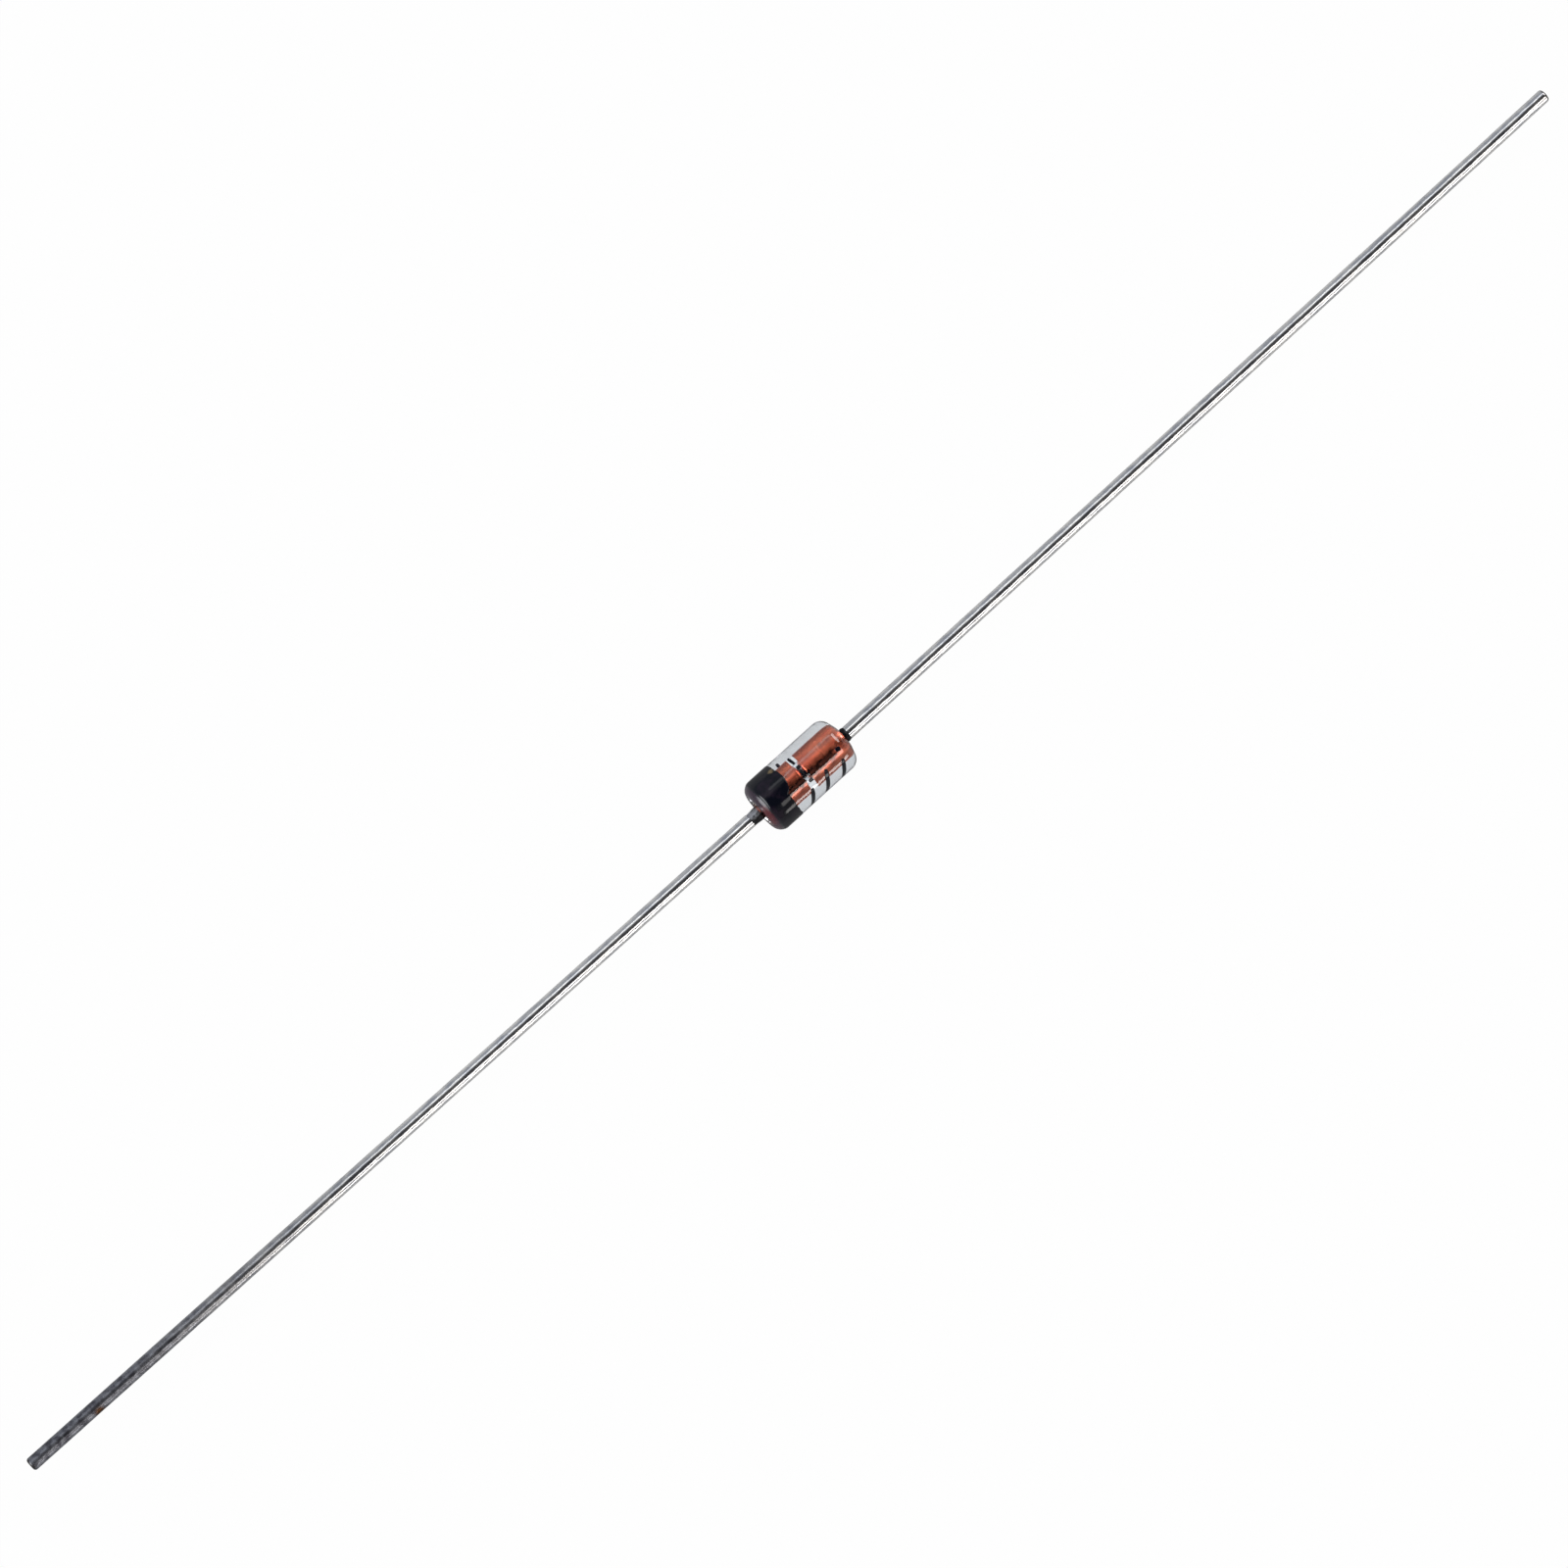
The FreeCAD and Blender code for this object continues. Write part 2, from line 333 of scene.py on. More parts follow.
def millimetres(tree, stretch=(1.0, 1.0, 1.0)):
    """Object coordinates in millimetres, stretched along an axis where a pattern is drawn out."""
    place = add_node(tree, "ShaderNodeTexCoord")
    scale = [1.0 / (MM * drawn_out) for drawn_out in stretch]
    settings = {"Vector": place.outputs["Object"], "Scale": scale}
    return add_node(tree, "ShaderNodeMapping", settings).outputs[0]


def axes_of(tree, where):
    """The separate X, Y and Z of a place."""
    return add_node(tree, "ShaderNodeSeparateXYZ", {"Vector": where}).outputs


def distance_to(tree, where, spot):
    """How far a place is from a fixed spot."""
    settings = {0: where, 1: spot}
    return add_node(tree, "ShaderNodeVectorMath", settings, operation="DISTANCE").outputs["Value"]


def noise_node(tree, where, per_mm, detail=3.0):
    """A noise pattern of that many blobs to the millimetre."""
    settings = {"Vector": where, "Scale": per_mm, "Detail": detail, "Roughness": NOISE_ROUGHNESS}
    return add_node(tree, "ShaderNodeTexNoise", settings).outputs["Fac"]


def fade(tree, value, start, end, low=0.0, high=1.0):
    """A value that goes smoothly from low to high while another goes from start to end."""
    settings = {"Value": value, "From Min": start, "From Max": end, "To Min": low, "To Max": high}
    faded = add_node(tree, "ShaderNodeMapRange", settings, interpolation_type="SMOOTHSTEP")
    return faded.outputs["Result"]


def blend(tree, share, first, second):
    """A colour between two others."""
    settings = {"Factor": share, 6: first, 7: second}
    return add_node(tree, "ShaderNodeMix", settings, data_type="RGBA").outputs[2]


def slant_of(tree):
    """How slantwise the surface is seen, from 0 to 1."""
    return add_node(tree, "ShaderNodeLayerWeight", {"Blend": 0.5}).outputs["Facing"]


def dent(tree, shader, height, depth):
    """Gives a shader a bump of that depth in millimetres."""
    settings = {"Height": height, "Distance": depth * MM, "Strength": 1.0}
    bump = add_node(tree, "ShaderNodeBump", settings)
    fill(tree, shader, {"Normal": bump.outputs["Normal"]})


print("finish helpers ready")

# %% [markdown]
# ## Glass
#
# The tube is soft lead glass that was melted round the studs, so it is clear, a little wavy and
# shiny all over. It bends light strongly, and the studs look wider in it than they are. Its shader
# is the Principled one with full transmission. Where the glass is seen at a slant the way through
# it is long and leads to the dark side of the studio, so a Layer Weight node darkens its base
# colour there, which draws the thin grey outline of the tube.

# %% The glass finish
GLASS_CLEAR = (0.86, 0.90, 0.94, 1.0)
GLASS_RIM = (0.18, 0.19, 0.23, 1.0)

glass_finish, tree, shader = start_finish("sleeve_glass")
fill(tree, shader, {
    "Base Color": blend(tree, fade(tree, slant_of(tree), 0.62, 0.86), GLASS_CLEAR, GLASS_RIM),
    "Specular IOR Level": 0.29,
    "Roughness": 0.0,
    "Transmission Weight": 1.0,
    "IOR": 1.63,
})
dent(tree, shader, noise_node(tree, millimetres(tree), 2.5, detail=1.0), 0.008)
print("clear glass")

# %% [markdown]
# ## Black ink
#
# The ring and the marks are printed in glossy black ink. It isn't quite even: its skin is slightly
# rippled, which breaks up the lamps' reflections, it sags towards the melted shoulder, where they
# end, and one small flaw shows brown. On the shoulder beyond the ring the ink ran out to a thin
# film, which is purple, red in front.

# %% The ink finish
INK_DEEP = (0.0025, 0.003, 0.006, 1.0)
INK_THIN = (0.009, 0.006, 0.012, 1.0)
INK_WORN = (0.115, 0.085, 0.045, 1.0)
# The middle of the flaw and the start and end of the sag, in millimetres.
INK_FLAW = (-0.755, 0.65, 0.70)
SAG_START = -1.64
SAG_END = -1.09

ink_finish, tree, shader = start_finish("black_ink")
where = millimetres(tree)
patches = fade(tree, noise_node(tree, where, 3.0), 0.45, 0.70)
full_ink = blend(tree, patches, INK_DEEP, INK_THIN)
to_flaw = distance_to(tree, where, INK_FLAW)
ragged_flaw = math_node(tree, "MULTIPLY_ADD", noise_node(tree, where, 9.0), 0.08, to_flaw)
flaw = fade(tree, ragged_flaw, 0.08, 0.17, 1.0, 0.0)
specks = noise_node(tree, where, 18.0)
fill(tree, shader, {
    "Base Color": blend(tree, flaw, full_ink, INK_WORN),
    "Roughness": fade(tree, specks, 0.3, 0.8, 0.07, 0.16),
    "IOR": 1.33,
    "Specular IOR Level": fade(tree, slant_of(tree), 0.35, 0.75, 0.5, 0.12),
})
sag = fade(tree, axes_of(tree, where)["X"], SAG_START, SAG_END)
ripples = noise_node(tree, where, 5.0, detail=1.5)
dent(tree, shader, math_node(tree, "MULTIPLY_ADD", ripples, 0.08, sag), 0.056)
print("glossy black ink")

# %% The thin film of ink
FILM_PURPLE = (0.017, 0.008, 0.018, 1.0)
FILM_RED = (0.062, 0.007, 0.011, 1.0)

film_finish, tree, shader = start_finish("thin_ink")
where = millimetres(tree)
axes = axes_of(tree, where)
mottle = noise_node(tree, where, 5.0, detail=3.0)
mottle_shift = math_node(tree, "MULTIPLY", mottle, 0.7)
to_front = math_node(tree, "MULTIPLY_ADD", axes["Y"], -1.0, mottle_shift)
red_starts = fade(tree, to_front, 0.15, 0.60)
red_ends = fade(tree, to_front, 0.75, 1.15, 1.0, 0.15)
in_patch = math_node(tree, "MULTIPLY", red_starts, red_ends)
from_ring = math_node(tree, "MULTIPLY_ADD", mottle, 0.10, axes["X"])
off_ring = fade(tree, from_ring, -1.62, -1.52, 1.0, 0.0)
thinned = blend(tree, math_node(tree, "MULTIPLY", in_patch, off_ring), FILM_PURPLE, FILM_RED)
near_ring = fade(tree, from_ring, -1.60, -1.53)
fill(tree, shader, {
    "Base Color": blend(tree, near_ring, thinned, INK_DEEP),
    "Roughness": fade(tree, mottle, 0.3, 0.7, 0.22, 0.34),
    "IOR": 1.45,
})
dent(tree, shader, mottle, 0.010)
print("a thin purple film of ink, red in front")

# %% [markdown]
# ## Copper under red oxide
#
# The studs are nickel-iron plugs with a copper skin. Glass only sticks to the red oxide of copper,
# so they are oxidised before they are sealed in, and seen through the glass they glow orange-red.
# The film is uneven: streaks run along the axis, where the plug was drawn. A long patch on the
# front is painted nearly black as painted shade, and painted shade also darkens the studs towards
# the back and low on the front. They are darker at the anode's outer end as well.

# %% The stud finish
OXIDE_BRIGHT = (0.98, 0.24, 0.12, 1.0)
OXIDE_RED = (0.80, 0.15, 0.08, 1.0)
DARK_OXIDE_AND_SHADE = (0.024, 0.004, 0.003, 1.0)
OXIDE_SHEEN = (1.0, 0.42, 0.26, 1.0)
# The patch of painted shade: its roll angle and half widths in degrees, and its end in millimetres.
SHADE_PATCH_ROLL = 25.0
SHADE_PATCH_CORE = 20.0
SHADE_PATCH_REACH = 38.0
SHADE_PATCH_END = 1.30
# Where the outer end of the anode stud turns dark, in millimetres.
DARK_END_X = 1.69

stud_finish, tree, shader = start_finish("oxidised_copper")
where = millimetres(tree)
axes = axes_of(tree, where)
streaks = noise_node(tree, millimetres(tree, stretch=(7.0, 1.0, 1.0)), 5.0, detail=3.0)
blotches = noise_node(tree, where, 1.8, detail=3.0)
drips = noise_node(tree, where, 4.5, detail=2.0)
warm = blend(tree, fade(tree, streaks, 0.34, 0.66), OXIDE_RED, OXIDE_BRIGHT)
front_share = math_node(tree, "MULTIPLY", axes["Y"], -1.0)
stud_roll = math_node(tree, "DEGREES", math_node(tree, "ARCTAN2", front_share, axes["Z"]))
# Painted shade: a long dark patch round the front of the studs, at a fixed roll angle, with ragged
# edges, weaker beyond its end towards the anode.
off_shade_patch = math_node(tree, "ABSOLUTE", math_node(tree, "SUBTRACT", stud_roll, SHADE_PATCH_ROLL))
off_shade_patch = math_node(tree, "MULTIPLY_ADD", drips, 26.0, off_shade_patch)
shade_patch_across = fade(tree, off_shade_patch, SHADE_PATCH_CORE, SHADE_PATCH_REACH, 1.0, 0.0)
ragged_end = math_node(tree, "MULTIPLY_ADD", blotches, 0.5, axes["X"])
shade_patch_along = fade(tree, ragged_end, SHADE_PATCH_END, SHADE_PATCH_END + 0.4, 1.0, 0.25)
painted_shade_and_blotches = math_node(tree, "MULTIPLY", shade_patch_across, shade_patch_along)
# Painted shade towards the back edge of the studs and low on their front.
painted_back_shade = fade(tree, stud_roll, -82.0, -34.0, 0.80, 0.0)
painted_low_front_shade = fade(tree, stud_roll, 48.0, 62.0, 0.0, 0.62)
# Darker at the outer end of the anode stud.
dark_outer_end = fade(tree, axes["X"], DARK_END_X - 0.03, DARK_END_X + 0.03)
dark_blotches = fade(tree, blotches, 0.56, 0.80, 0.0, 0.6)
# All the dark places are gathered here: painted shade, the darker anode end and random dark
# blotches.
for dark_place in (painted_back_shade, painted_low_front_shade, dark_outer_end, dark_blotches):
    painted_shade_and_blotches = math_node(tree, "MAXIMUM", painted_shade_and_blotches, dark_place)
fill(tree, shader, {
    "Base Color": blend(tree, painted_shade_and_blotches, warm, DARK_OXIDE_AND_SHADE),
    "Roughness": fade(tree, blotches, 0.3, 0.7, 0.20, 0.32),
    "Metallic": 0.62,
    "Specular Tint": OXIDE_SHEEN,
})
dent(tree, shader, streaks, 0.003)
print("streaked copper oxide")

# %% [markdown]
# ## Tinned wire
#
# The leads are dipped in tin. The coat is bright but lumpy, so the long reflections on it break
# into drips and flecks. Towards the cathode tip the tin has gone dull and dark, and there is a
# small rust-brown spot where it has worn through. The sheared ends show the dark steel inside.

# %% The wire finish
TIN_BRIGHT = (0.78, 0.77, 0.755, 1.0)
TIN_GREY = (0.52, 0.53, 0.56, 1.0)
TIN_TARNISH = (0.20, 0.205, 0.23, 1.0)
TIN_BLACKENED = (0.08, 0.08, 0.095, 1.0)
RUST_BROWN = (0.075, 0.034, 0.014, 1.0)
CUT_STEEL = (0.045, 0.042, 0.042, 1.0)
# Places along the leads, in millimetres.
RUST_PLACE = (-29.78, -0.05, 0.12)
RUST_REACH = 0.31
CUT_START = 32.41
CUT_FULL = CUT_START + 0.08

wire_finish, tree, shader = start_finish("tinned_wire")
where = millimetres(tree)
along_axis = axes_of(tree, where)["X"]
clouds = noise_node(tree, where, 0.9, detail=5.0)
flecks = noise_node(tree, millimetres(tree, stretch=(3.0, 1.0, 1.0)), 6.0, detail=4.0)
spots = fade(tree, noise_node(tree, where, 4.0, detail=4.0), 0.40, 0.62)
clean = blend(tree, fade(tree, flecks, 0.34, 0.60), TIN_GREY, TIN_BRIGHT)
dark = blend(tree, spots, TIN_TARNISH, TIN_BLACKENED)
ragged_place = math_node(tree, "MULTIPLY_ADD", clouds, 5.0, along_axis)
old = fade(tree, ragged_place, -28.0, -12.0, 1.0, 0.0)
tarnished = blend(tree, old, clean, dark)
to_rust = distance_to(tree, where, RUST_PLACE)
ragged_distance = math_node(tree, "MULTIPLY_ADD", flecks, 0.12, to_rust)
rust = fade(tree, ragged_distance, RUST_REACH * 0.4, RUST_REACH, 1.0, 0.0)
rusty = blend(tree, rust, tarnished, RUST_BROWN)
cut = fade(tree, math_node(tree, "ABSOLUTE", along_axis), CUT_START, CUT_FULL)
rough = fade(tree, flecks, 0.3, 0.7, 0.08, 0.18)
fill(tree, shader, {
    "Base Color": blend(tree, cut, rusty, CUT_STEEL),
    "Roughness": math_node(tree, "MULTIPLY_ADD", old, 0.24, rough),
    "Metallic": 0.95,
})
dent(tree, shader, flecks, 0.006)
print("tinned wire, tarnished towards the cathode tip")

# %% [markdown]
# ## Weld, silicon and silver
#
# The welds are burnt metal, dark and matt, blackest at the anode and in front. The die is a sawn
# square of polished silicon, with a silver coat under it and a silver bump on it. Only their edges
# show, in the narrow gap.

# %% The three small finishes
WELD_GREY = (0.34, 0.345, 0.37, 1.0)
WELD_BLACK = (0.012, 0.012, 0.014, 1.0)
SILICON_DARK = (0.05, 0.055, 0.07, 1.0)
SILICON_LIGHT = (0.11, 0.11, 0.13, 1.0)
SILVER_DULL = (0.74, 0.73, 0.70, 1.0)
SILVER_BRIGHT = (0.92, 0.91, 0.88, 1.0)

weld_finish, tree, shader = start_finish("burnt_weld")
where = millimetres(tree)
axes = axes_of(tree, where)
crust = noise_node(tree, where, 5.0, detail=3.0)
anode_side = fade(tree, math_node(tree, "MULTIPLY_ADD", crust, 0.5, axes["X"]), -0.5, 0.5)
front_share = math_node(tree, "MULTIPLY", axes["Y"], -1.0)
ragged_front = math_node(tree, "MULTIPLY_ADD", crust, -0.10, front_share)
burnt = math_node(tree, "MAXIMUM", anode_side, fade(tree, ragged_front, -0.02, 0.05))
scaly = blend(tree, fade(tree, crust, 0.30, 0.55), WELD_BLACK, WELD_GREY)
fill(tree, shader, {
    "Base Color": blend(tree, burnt, scaly, WELD_BLACK),
    "Roughness": fade(tree, crust, 0.3, 0.7, 0.34, 0.6),
    "Metallic": 0.85,
})
dent(tree, shader, crust, 0.012)

silicon_finish, tree, shader = start_finish("silicon")
saw_marks = noise_node(tree, millimetres(tree, stretch=(0.3, 4.0, 4.0)), 12.0)
silicon_colour = blend(tree, saw_marks, SILICON_DARK, SILICON_LIGHT)
fill(tree, shader, {"Base Color": silicon_colour, "Metallic": 0.6, "Roughness": 0.25})
dent(tree, shader, saw_marks, 0.004)

silver_finish, tree, shader = start_finish("plated_silver")
plating = noise_node(tree, millimetres(tree), 20.0, detail=4.0)
silver_colour = blend(tree, plating, SILVER_DULL, SILVER_BRIGHT)
fill(tree, shader, {"Base Color": silver_colour, "Metallic": 1.0, "Roughness": 0.28})
dent(tree, shader, plating, 0.004)
print("weld, silicon and silver")

# %% [markdown]
# ## A lathe in code
#
# Glass, studs, welds and bump are all round about the leads. A lathe takes an outline, a list of
# points given as x and radius, and sweeps it round. Corners of an outline are rounded first, with
# a true arc, because a real edge always catches a line of light.

# %% Round the corners of an outline


def rounded(corners, closed, steps=10):
    """An outline with an arc at each corner that has one. A corner is x, radius, arc radius."""
    outline = []
    count = len(corners)
    for i, (x, radius, arc_radius) in enumerate(corners):
        corner = Vector((x, radius))
        inner = closed or 0 < i < count - 1
        if not inner or arc_radius == 0:
            outline.append(corner)
            continue
        back = (Vector(corners[i - 1][:2]) - corner).normalized()
        ahead = (Vector(corners[(i + 1) % count][:2]) - corner).normalized()
        half = back.angle(ahead) / 2
        middle = corner + (back + ahead).normalized() * arc_radius / math.sin(half)
        first = corner + back * arc_radius / math.tan(half) - middle
        last = corner + ahead * arc_radius / math.tan(half) - middle
        sweep = math.atan2(first.cross(last), first.dot(last))
        for step in range(steps + 1):
            outline.append(middle + Matrix.Rotation(sweep * step / steps, 2) @ first)
    return outline


def divided(outline, longest, closed):
    """The same outline, with more points on its straight runs."""
    points = []
    ends = outline[1:] + outline[:1] if closed else outline[1:]
    for start, end in zip(outline, ends):
        parts_needed = max(1, math.ceil((end - start).length / longest))
        points += [start.lerp(end, k / parts_needed) for k in range(parts_needed)]
    return points if closed else points + [outline[-1]]


print("outline helpers ready")

# %% Turn an outline about the leads


def new_piece(name, vertices, faces, finish):
    """A smooth mesh object, with doubled points merged and every face pointing outwards."""
    mesh = bpy.data.meshes.new(name)
    mesh.from_pydata(vertices, [], faces)
    shell = bmesh.new()
    shell.from_mesh(mesh)
    bmesh.ops.remove_doubles(shell, verts=shell.verts, dist=1e-8)
    bmesh.ops.recalc_face_normals(shell, faces=shell.faces)
    shell.to_mesh(mesh)
    shell.free()
    mesh.materials.append(finish)
    mesh.polygons.foreach_set("use_smooth", [True] * len(mesh.polygons))
    mesh.update()
    piece = bpy.data.objects.new(name, mesh)
    bpy.context.scene.collection.objects.link(piece)
    print(name, len(mesh.polygons), "faces")
    return piece


def at_roll(x, radius, angle):
    """The point at a radius from the leads and a roll angle from straight up towards the front."""
    return x, -radius * math.sin(angle), radius * math.cos(angle)


def grid_faces(rows, columns, rows_close):
    """Square faces between the points of a grid whose columns always close into a ring."""
    faces = []
    for row in range(rows if rows_close else rows - 1):
        start = row * columns
        next_start = (row + 1) % rows * columns
        for column in range(columns):
            beside = (column + 1) % columns
            faces.append((start + column, start + beside, next_start + beside, next_start + column))
    return faces


def turned(name, outline, closed, around, finish, shape=None):
    """Sweeps an outline about the x axis. shape(x, radius, angle) may move each point a little."""
    vertices = []
    for x, radius in outline:
        for k in range(around):
            angle = 2 * math.pi * k / around
            at_x, at_radius = shape(x, radius, angle) if shape else (x, radius)
            vertices.append(at_roll(at_x, at_radius, angle))
    return new_piece(name, vertices, grid_faces(len(outline), around, closed), finish)


print("lathe ready")

# %% [markdown]
# ## The glass sleeve
#
# The tube's wall is one closed outline: along the bore, round the mouth, up the end face, over the
# rounded shoulder and back along the outside. The cathode end is nearly flat and the anode end is
# domed. Its bore is a hair smaller than the studs, so glass and copper share no air gap, as in a
# real fused seal. Its ends are measured on the photograph and lie just inside the CAD sleeve. The
# melted ends aren't perfectly round, so a slow noise pulls them in slightly.

# %% Make the glass sleeve
BORE_RADIUS = STUD_RADIUS - 0.006 * MM
CATHODE_CROWN = 0.04 * MM
CATHODE_LIP = 0.36 * MM
ANODE_CROWN = 0.18 * MM
ANODE_LIP = 0.38 * MM
MOUTH_LIP = 0.045 * MM
CATHODE_MOUTH = -1.80 * MM
ANODE_MOUTH = 1.78 * MM
MELT_DEPTH = 0.022 * MM
# In millimetres: how far from the middle the melting starts, and over what length it sets in.
MELT_START = 1.2
MELT_REACH = 0.6

wall = rounded([
    (CATHODE_MOUTH, BORE_RADIUS, MOUTH_LIP),
    (CATHODE_MOUTH + CATHODE_CROWN, GLASS_RADIUS, CATHODE_LIP),
    (ANODE_MOUTH - ANODE_CROWN, GLASS_RADIUS, ANODE_LIP),
    (ANODE_MOUTH, BORE_RADIUS, MOUTH_LIP),
], closed=True, steps=16)
wall = divided(wall, 0.06 * MM, closed=True)


def melted(x, radius, angle):
    """Pulls the melted shoulders in a little, more towards the ends of the tube."""
    near_end = max(0.0, abs(x) / MM - MELT_START) / MELT_REACH
    outer = max(0.0, (radius - BORE_RADIUS) / (GLASS_RADIUS - BORE_RADIUS))
    spot = Vector((x / MM, 2.0 * math.cos(angle), 2.0 * math.sin(angle)))
    lump = 0.5 + 0.5 * noise.noise(spot)
    pull = MELT_DEPTH * min(1.0, near_end) * outer * lump
    return x - math.copysign(pull, x), radius - pull


GLASS_AROUND = 224
glass = turned("glass_body", wall, True, GLASS_AROUND, glass_finish, melted)

# %% [markdown]
# ## Studs
#
# Each stud is a plug with tumbled edges: a small rounding at the die and a larger one outside.

# %% Make the two studs
STUD_INNER_EDGE = 0.08 * MM
STUD_OUTER_EDGE = 0.12 * MM
STUD_AROUND = 128


def stud(name, inner, outer):
    """A plug, turned from the middle of its inner face to the middle of its outer one."""
    corners = [
        (inner, 0.0, 0.0),
        (inner, STUD_RADIUS, STUD_INNER_EDGE),
        (outer, STUD_RADIUS, STUD_OUTER_EDGE),
        (outer, 0.0, 0.0),
    ]
    outline = divided(rounded(corners, closed=False), 0.08 * MM, closed=False)
    return turned(name, outline, False, STUD_AROUND, stud_finish)


cathode_outer, cathode_inner = span("cathode_stud")
anode_inner, anode_outer = span("anode_stud")
cathode_stud = stud("cathode_plug", cathode_inner, cathode_outer)
anode_stud = stud("anode_plug", anode_inner, anode_outer)

# %% [markdown]
# ## Die, backing and bump
#
# The silicon die is sawn from a wafer, so it is square, with edges that are only just chipped
# round. A bevelled block is enough for it and for the silver coat that bonds it to the cathode
# stud. The bump on its other face is a small turned button.

# %% Make the contact stack


def sawn_square(name, node, edge, finish):
    """A square slice in a CAD node's box, with bevelled edges."""
    low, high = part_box(node)
    slab = bmesh.new()
    bmesh.ops.create_cube(slab, size=1.0)
    for corner in slab.verts:
        corner.co = Vector([low[i] if corner.co[i] < 0 else high[i] for i in range(3)])
    rounding = {"offset": edge, "segments": 3, "profile": 0.6, "affect": "EDGES"}
    bmesh.ops.bevel(slab, geom=slab.edges, **rounding)
    mesh = bpy.data.meshes.new(name)
    slab.to_mesh(mesh)
    slab.free()
    mesh.materials.append(finish)
    piece = bpy.data.objects.new(name, mesh)
    bpy.context.scene.collection.objects.link(piece)
    print(name, len(mesh.polygons), "faces")
    return piece


die = sawn_square("silicon_die", "zener_die", 0.012 * MM, silicon_finish)
backing = sawn_square("die_backing", "silver_backing", 0.004 * MM, silver_finish)

BUMP_EDGE = 0.02 * MM
BUMP_AROUND = 64
bump_start, bump_end = span("silver_bump")
bump_radius = radius_of("silver_bump")
bump_corners = [
    (bump_start, 0.0, 0.0),
    (bump_start, bump_radius, 0.0),
    (bump_end, bump_radius, BUMP_EDGE),
    (bump_end, 0.0, 0.0),
]
bump_outline = rounded(bump_corners, closed=False)
bump = turned("contact_bump", bump_outline, False, BUMP_AROUND, silver_finish)

# %% [markdown]
# ## Welds
#
# Where each wire was fused to its stud, a lumpy bead is left. The lathe gives the swelling, and
# noise gives the lumps. Their height stays inside the CAD bead.

# %% Make the two weld beads
BEAD_LUMPS = 0.030 * MM
LUMPS_PER_MM = 2.5
BEAD_ROWS = 28
BEAD_AROUND = 96


def weld_bead(name, node, seed, fullest):
    """A lumpy barrel in a CAD bead's place. fullest is where it is widest, as a share."""
    start, end = span(node)
    swollen = radius_of(node)
    outline = [Vector((start, 0.0))]
    for i in range(BEAD_ROWS + 1):
        share = i / BEAD_ROWS
        bent = share ** (math.log(0.5) / math.log(fullest))
        radius = WIRE_RADIUS + (swollen - WIRE_RADIUS) * math.sin(math.pi * bent)
        outline.append(Vector((start + (end - start) * share, radius)))
    outline.append(Vector((end, 0.0)))

    def lumpy(x, radius, angle):
        """Sinks the skin by a noise that starts at the bead's seed."""
        across = radius / MM * LUMPS_PER_MM
        along = x / MM * LUMPS_PER_MM + seed
        spot = Vector((along, across * math.cos(angle), across * math.sin(angle)))
        return x, radius * (1.0 - BEAD_LUMPS / swollen * (0.5 + 0.5 * noise.noise(spot)))

    return turned(name, outline, False, BEAD_AROUND, weld_finish, lumpy)


cathode_weld = weld_bead("cathode_bead", "cathode_weld", 3.0, 0.72)
anode_weld = weld_bead("anode_bead", "anode_weld", 8.0, 0.5)

# %% [markdown]
# ## The cathode ring
#
# The ring is a film of ink about a hundredth of a millimetre thick, rolled on the glass. It starts
# on the melted shoulder and ends in a wavy edge. Each turn of the ring has its own width, so it is
# built angle by angle, as a thin closed loop that follows the outside of the glass. The thin film
# beyond it is made in the same way, and follows the shoulder round to the end face.

# %% Follow the outside of the glass
shoulder_start = CATHODE_MOUTH + CATHODE_LIP + 0.014 * MM


def on_glass(distance, height):
    """The point at a distance along the outside of the glass, raised by a height."""
    if distance >= shoulder_start:
        return distance, GLASS_RADIUS + height
    bend = (shoulder_start - distance) / CATHODE_LIP
    x = shoulder_start - (CATHODE_LIP + height) * math.sin(bend)
    return x, GLASS_RADIUS - CATHODE_LIP + (CATHODE_LIP + height) * math.cos(bend)


print(f"the shoulder bends from x = {shoulder_start / MM:.3f} mm")

# %% Make the ring
RING_START = -1.60 * MM
# Roll angle in degrees, then where the ring ends there, in millimetres.
RING_EDGE = [
    (-180, -0.74), (-120, -0.70), (-80, -0.67), (-50, -0.645), (-18, -0.585), (-4, -0.60),
    (7, -0.67), (19, -0.83), (60, -0.845), (90, -0.80), (130, -0.77), (180, -0.74),
]
RING_RAGGED = 0.018 * MM
FILM_START = -1.98 * MM
FILM_RAGGED = 0.05 * MM
INK_UNDER = 0.002 * MM
INK_AROUND = 320
INK_ACROSS = 30
# The ink rises to its full height over this many rows at each edge.
INK_BEVEL = 1.5


def ring_edge(angle):
    """Where the ring ends at a roll angle in radians."""
    degrees = (math.degrees(angle) + 180) % 360 - 180
    for (first, start), (last, end) in zip(RING_EDGE, RING_EDGE[1:]):
        if first <= degrees <= last:
            share = (degrees - first) / (last - first)
            smooth = share * share * (3 - 2 * share)
            return (start + (end - start) * smooth) * MM


